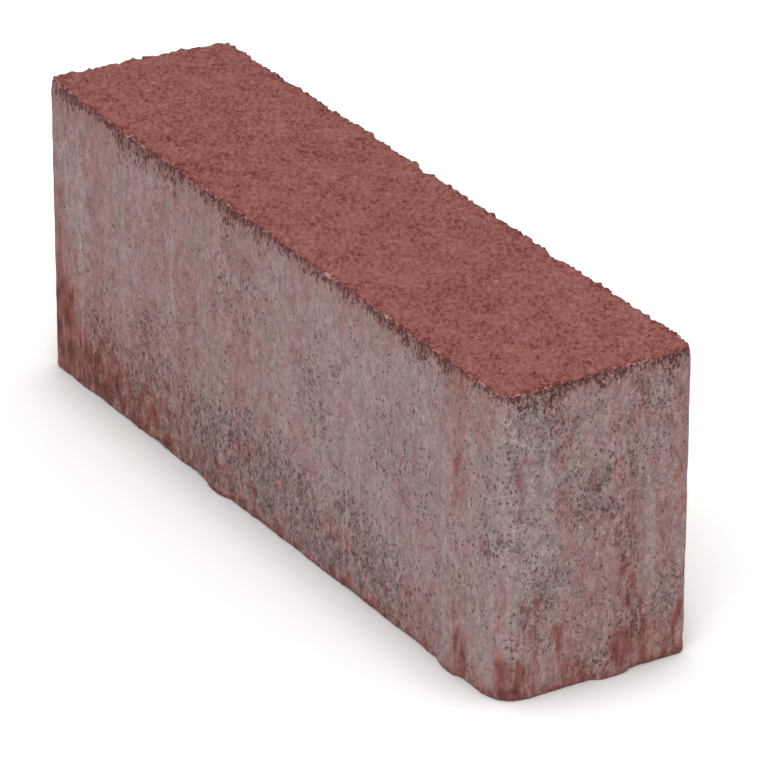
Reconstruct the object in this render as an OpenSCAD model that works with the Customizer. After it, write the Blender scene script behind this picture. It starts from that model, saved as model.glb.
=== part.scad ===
// Pressed concrete facing brick with spacer nibs.
//
// X runs along the brick, Y across it and Z up. The origin is the middle of the bed face, which
// the brick stands on. The front is the long side that looks along -Y, and the right end looks
// along +X. The nibs are laid out so that a half turn about Z lays each one on another: two
// bricks set side by side or end to end rest nib against face.

/* [Brick] */
// Length over the two end faces, nibs left out
brick_length = 200; // [160:1:300]
// Width over the two long sides, nibs left out
brick_width = 49; // [40:1:120]
// Height from the bed face to the top face
brick_height = 74; // [50:1:120]

/* [Upright edges] */
// Radius of the three upright edges that are as the mould left them
upright_radius = 3; // [1:0.5:8]
// Radius at the bed of the front right upright edge, which is rubbed round
worn_foot_radius = 6.5; // [4:0.5:10]
// Radius at the top of the same edge
worn_head_radius = 2.5; // [1:0.5:3.5]

/* [Spacer nibs] */
// How far a nib on a long side stands proud of it
side_nib_proud = 1.3; // [0.5:0.1:4]
// How far the nib on an end face stands proud of it
end_nib_proud = 1.5; // [0.5:0.1:4]
// Width of a nib where it grows out of the face
nib_foot = 11; // [8:0.5:16]
// Width of the crest of a nib, between its two slopes
nib_crest = 5; // [2:0.5:7]
// Radius that the crest is crowned to, seen from above
nib_crown_radius = 14; // [10:1:40]
// Bare height of face left between the top of a nib and the top face
nib_top_gap = 13; // [4:1:30]
// Height of the slope at the top of a nib, which lets the mould lift off
nib_lead_in = 4; // [1:0.5:10]
// Distance from an end face to the middle of the side nib nearest to it
side_nib_inset = 20; // [12:0.5:30]
// Distance between the middles of the two nibs of one long side
side_nib_pitch = 100; // [60:0.5:115]
// Distance of an end nib from the middle of its end face
end_nib_offset = 4.5; // [0:0.5:10]

/* [Arris wear] */
// Mean spacing of the nicks along the top and bed arrises
nick_spacing = 6.5; // [6:0.5:12]
// Length of the longest nick along its arris
nick_length = 5; // [3:0.1:5]
// Depth of the deepest nick of the top arrises, square to the arris
top_nick_depth = 0.6; // [0.2:0.05:1]
// Depth of the deepest nick of the bed arrises, square to the arris
bed_nick_depth = 0.45; // [0.2:0.05:1]
// Depth of a spall, where a larger flake has broken off
spall_depth = 1.3; // [0.6:0.1:2]
// Length of the shallow spall of the right top arris, by the worn upright edge
corner_spall_length = 13; // [6:0.5:16]
// Depth of the same spall
corner_spall_depth = 1; // [0.6:0.1:1.5]

/* [Hidden] */

// A nick row ends this far from the ends of its arris, clear of the rounded upright edges
nick_end_gap = max(upright_radius, worn_foot_radius) + 1;
// Share of its spacing that a nick may be shifted along the arris, either way
nick_shift = 0.1;
// Spalls of the back top arris: place from the left end face, and length
back_spalls = [[91, 7], [145, 8.5]];
// Spalls of the back right upright edge: height above the bed face, and length
upright_spalls = [[20, 3], [brick_height, 6]];
// Place of the middle of the corner spall, from the front
corner_spall_place = 8.5;
// Depth that a nib is rooted in the brick
nib_root = 2;
// Depth that the rounding of the worn edge cuts through the faces beside it, so that the two
// meet in a clean line
worn_bite = 0.02;
// How far a cutter reaches past the brick
clearance = 5;
// Facets of the curved surfaces
$fn = 48;

// Waste between a square corner and the rounded upright edge, for the corner at +X +Y. The
// origin is the centre of the rounding.
module corner_waste(radius) {
    difference() {
        square(radius + 1);
        circle(radius);
    }
}

// Outline of the brick seen from above, with the worn corner left square
module plan() {
    difference() {
        square([brick_length, brick_width], center = true);
        for (along = [-1, 1], across = [-1, 1])
            if (along < 0 || across > 0)
                mirror([along < 0 ? 1 : 0, 0])
                    mirror([0, across < 0 ? 1 : 0])
                        translate([brick_length / 2 - upright_radius,
                                   brick_width / 2 - upright_radius])
                            corner_waste(upright_radius);
    }
}

// Waste along the worn upright edge. The edge stands on the origin, with the brick on its -X -Y
// side. The rounding is part of a cone that touches both faces and whose tip is on the line of
// the edge, so its radius shrinks evenly from the bed to the top.
module worn_edge_waste() {
    // Height at which the radius would reach nothing
    tip = brick_height * worn_foot_radius / (worn_foot_radius - worn_head_radius);
    // Length of the cone's axis from the tip to the bed, and its lean from the upright
    axis = sqrt(tip * tip + 2 * worn_foot_radius * worn_foot_radius);
    lean = atan(sqrt(2) * worn_foot_radius / tip);
    // Radius square to the axis, for each length of it
    slope = tan(asin(worn_foot_radius / axis));
    difference() {
        intersection() {
            worn_strip(tip);
            mirror([1, -1, 0])
                worn_strip(tip);
        }
        translate([-worn_foot_radius, -worn_foot_radius, 0])
            rotate([0, lean, 45])
                translate([0, 0, -clearance])
                    cylinder(h = axis + clearance,
                             r1 = (axis + clearance) * slope + worn_bite, r2 = worn_bite);
    }
}

// A slab along the face at X = 0, as deep into the brick as the radius of the worn edge is at
// each height
module worn_strip(tip) {
    depth = worn_foot_radius + clearance;
    translate([-worn_foot_radius, -depth, 0])
        rotate([0, atan(worn_foot_radius / tip), 0])
            translate([0, 0, -clearance])
                cube([depth, 2 * depth, brick_height + 2 * clearance]);
}

// Cross-section of a nib seen from above, growing along +Y out of a face on Y = 0: a low
// trapezium with a crowned crest
module nib_section(proud) {
    intersection() {
        polygon([
            [-nib_foot / 2, -nib_root], [-nib_foot / 2, 0], [-nib_crest / 2, proud],
            [nib_crest / 2, proud], [nib_foot / 2, 0], [nib_foot / 2, -nib_root]
        ]);
        translate([0, proud - nib_crown_radius])
            circle(nib_crown_radius, $fn = 4 * $fn);
    }
}

// A nib on a face that looks along +Y, standing on the bed plane and cut back by its lead-in
// slope at the top
module nib(proud) {
    rise = brick_height - nib_top_gap;
    intersection() {
        linear_extrude(rise)
            nib_section(proud);
        rotate([90, 0, 90])
            linear_extrude(nib_foot, center = true)
                polygon([
                    [-nib_root, 0], [proud, 0], [proud, rise - nib_lead_in],
                    [0, rise], [-nib_root, rise]
                ]);
    }
}

// The two nibs of the front, the outer one near the right end, and the nib of the right end
module front_and_right_nibs() {
    for (step = [0, 1])
        translate([brick_length / 2 - side_nib_inset - step * side_nib_pitch, -brick_width / 2, 0])
            rotate([0, 0, 180])
                nib(side_nib_proud);
    translate([brick_length / 2, end_nib_offset, 0])
        rotate([0, 0, -90])
            nib(end_nib_proud);
}

// A ball that scoops one flake off an arris. The arris runs along X through the origin, with
// the brick on its -Y -Z side. The ball cuts the arris over the given length and bites to the
// given depth.
module scoop(length, depth) {
    radius = (length * length / 4 + depth * depth) / (2 * depth);
    standoff = (radius - depth) / sqrt(2);
    translate([0, standoff, standoff])
        sphere(radius);
}

// A row of nicks along an arris of the given length, with its middle on the origin
module nick_row(arris, deepest, seed) {
    run = arris - 2 * nick_end_gap;
    count = floor(run / nick_spacing);
    pitch = run / count;
    shifts = rands(-nick_shift, nick_shift, count, seed);
    lengths = rands(nick_length / 2, nick_length, count, seed + 1);
    depths = rands(deepest / 4, deepest, count, seed + 2);
    for (i = [0 : count - 1])
        translate([(i + 0.5 + shifts[i]) * pitch - run / 2, 0, 0])
            scoop(lengths[i], depths[i]);
}

// Nicks of the four arrises round a face that lies in the plane Z = 0 and looks along +Z
module nicked_rim(deepest, seed) {
    for (side = [0 : 3]) {
        arris = side % 2 == 0 ? brick_length : brick_width;
        reach = side % 2 == 0 ? brick_width : brick_length;
        rotate([0, 0, 90 * side])
            translate([0, reach / 2, 0])
                nick_row(arris, deepest, seed + 10 * side);
    }
}

// The larger flakes, off the back top arris, the back right upright edge and the right top
// arris beside the worn edge
module spalls() {
    // The rounding of an upright edge sets its surface back from the square corner
    setback = upright_radius * (1 - 1 / sqrt(2));
    for (spall = back_spalls)
        translate([spall[0] - brick_length / 2, brick_width / 2, brick_height])
            scoop(spall[1], spall_depth);
    for (spall = upright_spalls)
        translate([brick_length / 2 - setback, brick_width / 2 - setback, spall[0]])
            rotate([0, 90, 0])
                scoop(spall[1], spall_depth);
    translate([brick_length / 2, corner_spall_place - brick_width / 2, brick_height])
        rotate([0, 0, -90])
            scoop(corner_spall_length, corner_spall_depth);
}

// The brick: the pressed block with the wear of its edges, and its nibs
module brick() {
    color([0.58, 0.45, 0.43]) {
        difference() {
            linear_extrude(brick_height)
                plan();
            translate([brick_length / 2, -brick_width / 2, 0])
                mirror([0, 1, 0])
                    worn_edge_waste();
            translate([0, 0, brick_height])
                nicked_rim(top_nick_depth, 11);
            mirror([0, 0, 1])
                nicked_rim(bed_nick_depth, 71);
            spalls();
        }
        for (turn = [0, 180])
            rotate([0, 0, turn])
                front_and_right_nibs();
    }
}

brick();
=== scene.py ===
"""Looks of a pressed concrete facing brick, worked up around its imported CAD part.

The brick is one closed skin. Its grid is laid on the plain block and then pushed in and out by
the spacer nibs, the draw marks of the mould, the broken arrises and the sandy top. Masks for
stains, crumbs and bare paste are worked out on the same grid and stored as attributes, which
the finishes read. Lengths are millimetres until the skin becomes a mesh, in metres.
"""

import itertools
import logging
import math
from dataclasses import dataclass, field
from enum import IntEnum

import bpy
import numpy as np
from mathutils import Matrix, Vector


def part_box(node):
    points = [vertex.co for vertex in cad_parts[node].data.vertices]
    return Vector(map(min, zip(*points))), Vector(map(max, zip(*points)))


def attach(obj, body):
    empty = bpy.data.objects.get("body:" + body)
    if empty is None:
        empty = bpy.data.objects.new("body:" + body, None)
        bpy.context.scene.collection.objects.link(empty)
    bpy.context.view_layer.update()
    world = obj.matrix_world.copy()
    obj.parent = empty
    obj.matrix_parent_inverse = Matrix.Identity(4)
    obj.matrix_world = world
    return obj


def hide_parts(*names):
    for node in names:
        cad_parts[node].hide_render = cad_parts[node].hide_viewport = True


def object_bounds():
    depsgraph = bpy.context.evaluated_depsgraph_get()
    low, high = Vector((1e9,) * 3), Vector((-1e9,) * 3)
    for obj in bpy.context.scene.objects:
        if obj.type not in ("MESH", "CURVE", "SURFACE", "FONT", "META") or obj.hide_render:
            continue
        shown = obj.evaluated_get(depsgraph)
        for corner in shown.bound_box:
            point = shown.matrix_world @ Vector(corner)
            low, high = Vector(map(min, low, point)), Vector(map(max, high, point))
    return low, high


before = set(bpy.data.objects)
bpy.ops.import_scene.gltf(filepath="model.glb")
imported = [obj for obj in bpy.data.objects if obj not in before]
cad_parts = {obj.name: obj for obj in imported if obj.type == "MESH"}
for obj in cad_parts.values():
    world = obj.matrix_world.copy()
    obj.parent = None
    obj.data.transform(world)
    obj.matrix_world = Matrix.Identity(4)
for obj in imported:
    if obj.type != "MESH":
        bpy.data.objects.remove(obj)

Array = np.ndarray
Feed = bpy.types.NodeSocket | float | tuple[float, ...]

LOG = logging.getLogger("facing_brick")
MM = 0.001
CAD_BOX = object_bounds()
# Added to a distance that is measured on another face, to put it out of reach
FAR = 1000.0
# Large odd numbers that scatter() spreads a cell's three coordinates and its seed with, and the
# shifts and odd numbers of its two folds
AXIS_KEYS = np.array([[0x8DA6B343], [0xD8163841], [0xCB1AB31F]], np.uint64)
SEED_KEY = 0x9E3779B97F4A7C15
FOLDS = ((31, 0x7FB5D329728EA185), (27, 0x81DADEF4BC2DD44D))


# ---------------------------------------------------------------------------- numbers on arrays


def smooth(share: Array) -> Array:
    """Eases 0..1 into 0..1 and holds the ends: t * t * (3 - 2 * t), with t clipped first.

    Args:
        share: Any numbers.

    Returns:
        The eased numbers, from 0 to 1.
    """
    t = np.clip(share, 0.0, 1.0)
    return t * t * (3.0 - 2.0 * t)


def scatter(cells: Array, seed: int) -> Array:
    """Gives each whole-numbered cell its own random number.

    The three coordinates and the seed are multiplied by large odd numbers and joined by
    exclusive or, and the bits are then folded twice.

    Args:
        cells: Whole numbers, shaped (count, 3).
        seed: Which of many independent scatters to use.

    Returns:
        One number from 0 to 1 for each cell.
    """
    x, y, z = cells.astype(np.int64).astype(np.uint64).T * AXIS_KEYS
    bits = x ^ y ^ z ^ np.uint64(seed * SEED_KEY % 2**64)
    for shift, key in FOLDS:
        bits ^= bits >> np.uint64(shift)
        bits *= np.uint64(key)
    return (bits >> np.uint64(11)).astype(float) / 2.0**53


def ripple(points: Array, length: float | tuple[float, float, float], seed: int) -> Array:
    """Smooth random height field in space.

    Each lattice cell of the given size has random numbers on its eight corners, which are
    mixed with the weights of the fifth-order ease 6t^5 - 15t^4 + 10t^3 on each axis.

    Args:
        points: Places in millimetres, shaped (count, 3).
        length: Cell size in millimetres, or one size for each axis.
        seed: Which of many independent fields to use.

    Returns:
        One number from -1 to 1 for each point.
    """
    scaled = points / np.asarray(length, float)
    low = np.floor(scaled)
    t = scaled - low
    eased = t * t * t * (t * (6.0 * t - 15.0) + 10.0)
    total = np.zeros(len(points))
    for corner in itertools.product((0, 1), repeat=3):
        weight = np.prod(np.where(corner, eased, 1.0 - eased), axis=1)
        total += weight * scatter(low + corner, seed)
    return 2.0 * total - 1.0


def rough(points: Array, length: float, octaves: int, seed: int, fall: float = 0.55) -> Array:
    """Sum of ripples, each of half the size of the one before.

    The total of fall^k * (ripple of length / 2^k), divided by the total of fall^k.

    Args:
        points: Places in millimetres, shaped (count, 3).
        length: Cell size of the largest ripple, in millimetres.
        octaves: Number of ripples.
        seed: Seed of the first ripple.
        fall: Height of each ripple as a share of the one before.

    Returns:
        One number from about -1 to 1 for each point.
    """
    total = sum(
        fall**k * ripple(points, length / 2**k, seed + 101 * k) for k in range(octaves)
    )
    return total / sum(fall**k for k in range(octaves))


def pocks(points: Array, spacing: float, radii: tuple[float, float], seed: int) -> Array:
    """Round dimples scattered in space, one to a cell.

    Each cell holds one centre at a random place, with a random radius. A point's depth is the
    largest of (1 - distance / radius) over the 27 cells around it.

    Args:
        points: Places in millimetres, shaped (count, 3).
        spacing: Cell size in millimetres.
        radii: Smallest and largest radius, in millimetres.
        seed: Which of many independent scatters to use.

    Returns:
        Depth from 0 outside a dimple to 1 at its centre.
    """
    low = np.floor(points / spacing)
    deepest = np.zeros(len(points))
    for step in itertools.product((-1, 0, 1), repeat=3):
        cell = low + step
        centre = np.stack([scatter(cell, seed + axis) for axis in range(3)], axis=1)
        away = np.linalg.norm(points - (cell + centre) * spacing, axis=1)
        radius = radii[0] + (radii[1] - radii[0]) * scatter(cell, seed + 3) ** 2
        deepest = np.maximum(deepest, 1.0 - away / radius)
    return deepest


def graded_lines(length: float, coarse: float, fine: float, reach: tuple[float, float]) -> Array:
    """Grid lines from 0 to a length, closer together near the two ends.

    The spacing eases from fine at each end to coarse at the reach from it. Lines stand where
    the running total of 1 / spacing passes equal steps.

    Args:
        length: Distance covered, in millimetres.
        coarse: Spacing away from the ends.
        fine: Spacing at the ends.
        reach: How far the closer lines reach from the start and from the end.

    Returns:
        The lines' places, in rising order.
    """
    samples = 4001
    at = np.linspace(0.0, length, samples)
    ease = smooth(at / reach[0]) * smooth((length - at) / reach[1])
    density = 1.0 / (fine + (coarse - fine) * ease)
    total = np.concatenate([[0.0], np.cumsum((density[1:] + density[:-1]) / 2 * np.diff(at))])
    count = math.ceil(total[-1])
    return np.interp(np.linspace(0.0, total[-1], count + 1), total, at)


# --------------------------------------------------------------------------------- plain block


class Part(IntEnum):
    """Which face of the block a vertex was laid on."""

    TOP = 0
    SIDE = 1
    BED = 2


@dataclass(frozen=True)
class Block:
    """The plain block under the brick's skin, with its upright edges rounded.

    Attributes:
        length: Size along X, nibs left out.
        width: Size along Y, nibs left out.
        height: Size along Z.
        radius: Radius of the upright edges.
        worn_foot: Radius of the front right upright edge at the bed.
        worn_head: Radius of the same edge at the top.
    """

    length: float
    width: float
    height: float
    radius: float = 3.0
    worn_foot: float = 6.5
    worn_head: float = 2.5

    @property
    def girth(self) -> float:
        """Distance round the square-cornered outline."""
        return 2.0 * (self.length + self.width)

    def corner_radius(self, x: Array, y: Array, z: Array | float) -> Array:
        """Radius of the upright edge nearest to each place, at its height."""
        worn = self.worn_foot + (self.worn_head - self.worn_foot) * z / self.height
        return np.where((x > 0) & (y < 0), worn, self.radius)

    def rounded(self, x: Array, y: Array, z: Array | float) -> tuple[Array, Array]:
        """Squeezes a square-cornered plan into the rounded outline.

        In the square of side r at a corner, the place (u, v) from 0 to 1 moves to
        (u * sqrt(1 - v * v / 2), v * sqrt(1 - u * u / 2)), which lays the square's two outer
        sides on the quarter circle and leaves the inner two alone.

        Args:
            x: Places along the block.
            y: Places across it.
            z: Heights over the bed.

        Returns:
            The moved x and y.
        """
        radius = self.corner_radius(x, y, z)
        u = np.clip((np.abs(x) - self.length / 2) / radius + 1.0, 0.0, 1.0)
        v = np.clip((np.abs(y) - self.width / 2) / radius + 1.0, 0.0, 1.0)
        shift_x = radius * u * (np.sqrt(1.0 - v * v / 2) - 1.0)
        shift_y = radius * v * (np.sqrt(1.0 - u * u / 2) - 1.0)
        return x + np.sign(x) * shift_x, y + np.sign(y) * shift_y

    def to_rim(self, x: Array, y: Array, z: Array) -> tuple[Array, Array, Array]:
        """Finds the way from each place to the nearest point of the rounded outline.

        In a corner square the way is along the radius of the rounding. Elsewhere it is square
        to the nearer side.

        Args:
            x: Places along the block.
            y: Places across it.
            z: Heights over the bed.

        Returns:
            Distance to the outline, and the x and y of the outward direction.
        """
        radius = self.corner_radius(x, y, z)
        over_x = np.abs(x) - self.length / 2 + radius
        over_y = np.abs(y) - self.width / 2 + radius
        in_corner = (over_x > 0) & (over_y > 0)
        arm = np.maximum(np.hypot(over_x, over_y), 1e-9)
        inset = radius - np.where(in_corner, arm, np.maximum(over_x, over_y))
        out_x = np.where(in_corner, over_x / arm, over_x >= over_y) * np.sign(x)
        out_y = np.where(in_corner, over_y / arm, over_x < over_y) * np.sign(y)
        return inset, out_x, out_y

    def run(self, rim: Array, out: Array) -> Array:
        """Distance round the outline, from the front left corner by way of the right end.

        A rounding is stretched onto its square corner, so that the distance has no jump.

        Args:
            rim: Points of the outline, shaped (count, 3).
            out: Outward direction there, shaped (count, 3).

        Returns:
            The distance, from 0 to the girth.
        """
        stretch = (math.sqrt(2.0) - 1.0) * self.corner_radius(*rim.T)
        x = rim[:, 0] + stretch * out[:, 0] + self.length / 2
        y = rim[:, 1] + stretch * out[:, 1] + self.width / 2
        on_x = np.where(out[:, 0] > 0, self.length + y, self.girth - y)
        on_y = np.where(out[:, 1] < 0, x, 2 * self.length + self.width - x)
        return np.where(np.abs(out[:, 0]) > np.abs(out[:, 1]), on_x, on_y)


@dataclass
class Skin:
    """Vertices and faces of the block's skin, with each vertex's place on the block.

    Attributes:
        block: The block that the skin is laid on.
        places: Vertices, shaped (count, 3).
        part: The face of the block each vertex is laid on.
        quads: Corners of the four-sided faces.
        triangles: Corners of the three-sided faces.
        inset: Distance of each vertex's place from the rim, and 0 on the sides.
        out: Level direction from each place to the rim, of length 1.
        rim: Point of the rim nearest to each place, at its height.
        run: Distance round the outline to that point.
    """

    block: Block
    places: Array
    part: Array
    quads: Array
    triangles: Array
    inset: Array = field(init=False)
    out: Array = field(init=False)
    rim: Array = field(init=False)
    run: Array = field(init=False)

    def __post_init__(self) -> None:
        """Works out each vertex's way to the rim of the block."""
        inset, out_x, out_y = self.block.to_rim(*self.places.T)
        self.inset = np.where(self.part == Part.SIDE, 0.0, np.maximum(inset, 0.0))
        self.out = np.stack([out_x, out_y, np.zeros_like(out_x)], axis=1)
        self.rim = self.places + self.out * self.inset[:, None]
        self.run = self.block.run(self.rim, self.out)

    @property
    def lift(self) -> Array:
        """Height of each vertex's place above the bed."""
        return self.places[:, 2]

    @property
    def drop(self) -> Array:
        """Depth of each vertex's place below the top face."""
        return self.block.height - self.lift

    @property
    def plan(self) -> Array:
        """Each vertex's place brought down to the bed plane, for patterns of the flat faces."""
        return self.places * (1.0, 1.0, 0.0)

    def drawn(self, rise: float = 0.0) -> Array:
        """Rim points with their height times a factor, for patterns that the mould has drawn
        upright. At 0 a pattern changes only round the brick."""
        return self.rim * (1.0, 1.0, rise)

    def from_top_arris(self) -> Array:
        """Distance along the surface from the top arris."""
        return self.drop + self.inset + FAR * (self.part == Part.BED)

    def from_bed_arris(self) -> Array:
        """Distance along the surface from the bed arris."""
        return self.lift + self.inset + FAR * (self.part == Part.TOP)

    def round_to(self, place: float) -> Array:
        """Signed distance round the outline from a place to each vertex."""
        girth = self.block.girth
        return (self.run - place + girth / 2) % girth - girth / 2


@dataclass(frozen=True)
class SkinGrid:
    """Spacing of the grid that the skin is made of, in millimetres.

    Attributes:
        along_step: Spacing along the block of the lines that run across it.
        across_step: Spacing across the block of the lines that run along it.
        rise_step: Spacing of the rows up the sides.
        fine_step: Spacing next to an arris.
        top_reach: How far the close rows reach down from the top arris.
        bed_reach: How far the close rows reach up from the bed arris.
        end_reach: How far the close lines of the top reach in from its arrises.
        bed_steps: Distances between the rings of the bed, from its arris inwards, in shares
            of half the block's width.
    """

    along_step: float = 0.46
    across_step: float = 0.62
    rise_step: float = 2.1
    fine_step: float = 0.32
    top_reach: float = 9.0
    bed_reach: float = 5.0
    end_reach: float = 1.5
    bed_steps: tuple[float, ...] = (0.0, 0.012, 0.035, 0.08, 0.16, 0.29, 0.48, 0.73, 1.0)

    def lay_on(self, block: Block) -> Skin:
        """Lays one closed grid over the block.

        The top is a grid of lines along and across. Its outer loop is the first of the rows
        that run round the sides and down, and after the bed arris the rows close in on the
        bed's middle line: ring point = (1 - s) * outline point + s * nearest point of the
        middle line, for each share s of bed_steps.

        Args:
            block: The block to cover.

        Returns:
            The skin, with its faces turned outwards.
        """
        ends = (self.end_reach, self.end_reach)
        xs = graded_lines(block.length, self.along_step, self.fine_step, ends) - block.length / 2
        ys = graded_lines(block.width, self.across_step, self.fine_step, ends) - block.width / 2
        falls = graded_lines(
            block.height, self.rise_step, self.fine_step, (self.top_reach, self.bed_reach)
        )
        square_x, square_y = np.meshgrid(xs, ys, indexing="ij")
        grid_x, grid_y = block.rounded(square_x, square_y, block.height)
        top = np.stack([grid_x, grid_y, np.full_like(grid_x, block.height)], axis=2)

        loop = self.outer_loop(len(xs) - 1, len(ys) - 1)
        heights = np.repeat(block.height - falls[1:, None], len(loop[0]), axis=1)
        ring_x, ring_y = block.rounded(square_x[loop][None], square_y[loop][None], heights)
        sides = np.stack([ring_x, ring_y, heights], axis=2)

        spine_end = (block.length - block.width) / 2
        first, last = np.searchsorted(xs, (-spine_end, spine_end))
        spine = np.zeros((last - first + 1, 3))
        spine[:, 0] = xs[first : last + 1]
        nearest = np.clip(loop[0], first, last) - first
        share = np.asarray(self.bed_steps[1:-1])[:, None, None]
        bed = (1 - share) * sides[-1] + share * spine[nearest]

        grids = [grid.reshape(-1, 3) for grid in (top, sides, bed, spine)]
        counts = [len(grid) for grid in grids]
        part = np.repeat([Part.TOP, Part.SIDE, Part.BED, Part.BED], counts)
        top_ids = np.arange(counts[0]).reshape(top.shape[:2])
        part[top_ids[loop]] = Part.SIDE
        row_ids = counts[0] + np.arange(counts[1] + counts[2]).reshape(-1, len(nearest))
        spine_ids = sum(counts[:3]) + nearest
        rows = np.concatenate([top_ids[loop][None], row_ids, spine_ids[None]])
        quads, triangles = self.faces(top_ids, rows)
        return Skin(block, np.concatenate(grids), part, quads, triangles)

    @staticmethod
    def outer_loop(nx: int, ny: int) -> tuple[Array, Array]:
        """Numbers of the grid's outer points, in order round it from its first corner.

        Args:
            nx: Number of the last line along X.
            ny: Number of the last line along Y.

        Returns:
            The points' line numbers along X and along Y.
        """
        loop_i = (np.arange(nx), np.full(ny, nx), np.arange(nx, 0, -1), np.zeros(ny, int))
        loop_j = (np.zeros(nx, int), np.arange(ny), np.full(nx, ny), np.arange(ny, 0, -1))
        return np.concatenate(loop_i), np.concatenate(loop_j)

    @staticmethod
    def faces(top_ids: Array, rows: Array) -> tuple[Array, Array]:
        """Faces of the top grid and of the bands between the closed rows below it.

        Args:
            top_ids: Vertex numbers of the top, shaped (along, across).
            rows: Vertex numbers of the rows, from the top's outer loop to the middle line of
                the bed, shaped (row, around).

        Returns:
            Corners of the four-sided faces, and of the three-sided ones, which stand where
            two neighbours of a row share their point of the middle line.
        """
        upper, lower = rows[:-1], rows[1:]
        walls = np.stack(
            [upper, lower, np.roll(lower, -1, axis=1), np.roll(upper, -1, axis=1)], axis=2
        ).reshape(-1, 4)
        lid = np.stack(
            [top_ids[:-1, :-1], top_ids[1:, :-1], top_ids[1:, 1:], top_ids[:-1, 1:]], axis=2
        ).reshape(-1, 4)
        pointed = walls[:, 1] == walls[:, 2]
        return np.concatenate([lid, walls[~pointed]]), walls[pointed][:, [0, 1, 3]]


# ---------------------------------------------------------------------------------- the relief


@dataclass(frozen=True)
class Nib:
    """One spacer nib: a low upright rib with sloping flanks and a crowned crest.

    Attributes:
        place: Distance round the brick to the middle of the nib.
        proud: Height over the face.
        foot: Width at the face.
        crest: Width between the slopes.
        crown_radius: Radius of the crest, seen from above.
        rise: Height of the top of the nib over the bed.
        lead_in: Height of the slope at its top.
    """

    place: float
    proud: float
    foot: float = 11.0
    crest: float = 5.0
    crown_radius: float = 14.0
    rise: float = 61.0
    lead_in: float = 4.0

    def height(self, skin: Skin, wander: Array) -> Array:
        """How far the nib pushes each vertex out.

        The smallest of its slope, its crown circle and its lead-in slope, and never below 0.

        Args:
            skin: The skin it stands on.
            wander: Sideways wander of the flanks at each vertex.

        Returns:
            The height over the face, in millimetres.
        """
        across = np.abs(skin.round_to(self.place) + wander)
        slope = self.proud * (self.foot / 2 - across) / ((self.foot - self.crest) / 2)
        inside = np.clip(self.crown_radius**2 - across**2, 0.0, None)
        crown = self.proud - self.crown_radius + np.sqrt(inside)
        lead = self.proud * (self.rise - skin.lift) / self.lead_in
        return np.clip(np.minimum(np.minimum(slope, crown), lead), 0.0, None)


@dataclass(frozen=True)
class Flake:
    """A larger chip that has broken off an arris.

    Attributes:
        middle: Point of the arris at the middle of the chip.
        outward: Direction away from the arris, of length 1.
        length: Length of arris that is gone.
        depth: Depth of the break, square to the arris.
    """

    middle: tuple[float, float, float]
    outward: tuple[float, float, float]
    length: float
    depth: float = 1.3

    def bite(self, places: Array, crumble: Array) -> Array:
        """How far each vertex is pushed back by the chip.

        A ball stands off the arris, and a vertex inside it moves against the outward direction
        until it is on the ball: with w the way from the ball's centre, the step is
        w.d + sqrt((w.d)^2 + R^2 - w.w).

        Args:
            places: Vertices, shaped (count, 3).
            crumble: Roughness of the broken face at each vertex, in millimetres.

        Returns:
            The step of each vertex, in millimetres.
        """
        radius = (self.length**2 / 4 + self.depth**2) / (2 * self.depth)
        outward = np.asarray(self.outward)
        way = places - np.asarray(self.middle) - outward * (radius - self.depth)
        along = way @ outward
        reach = (radius + crumble) ** 2 - (way * way).sum(axis=1)
        return np.where(reach > 0, along + np.sqrt(along**2 + np.maximum(reach, 0.0)), 0.0)


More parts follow.
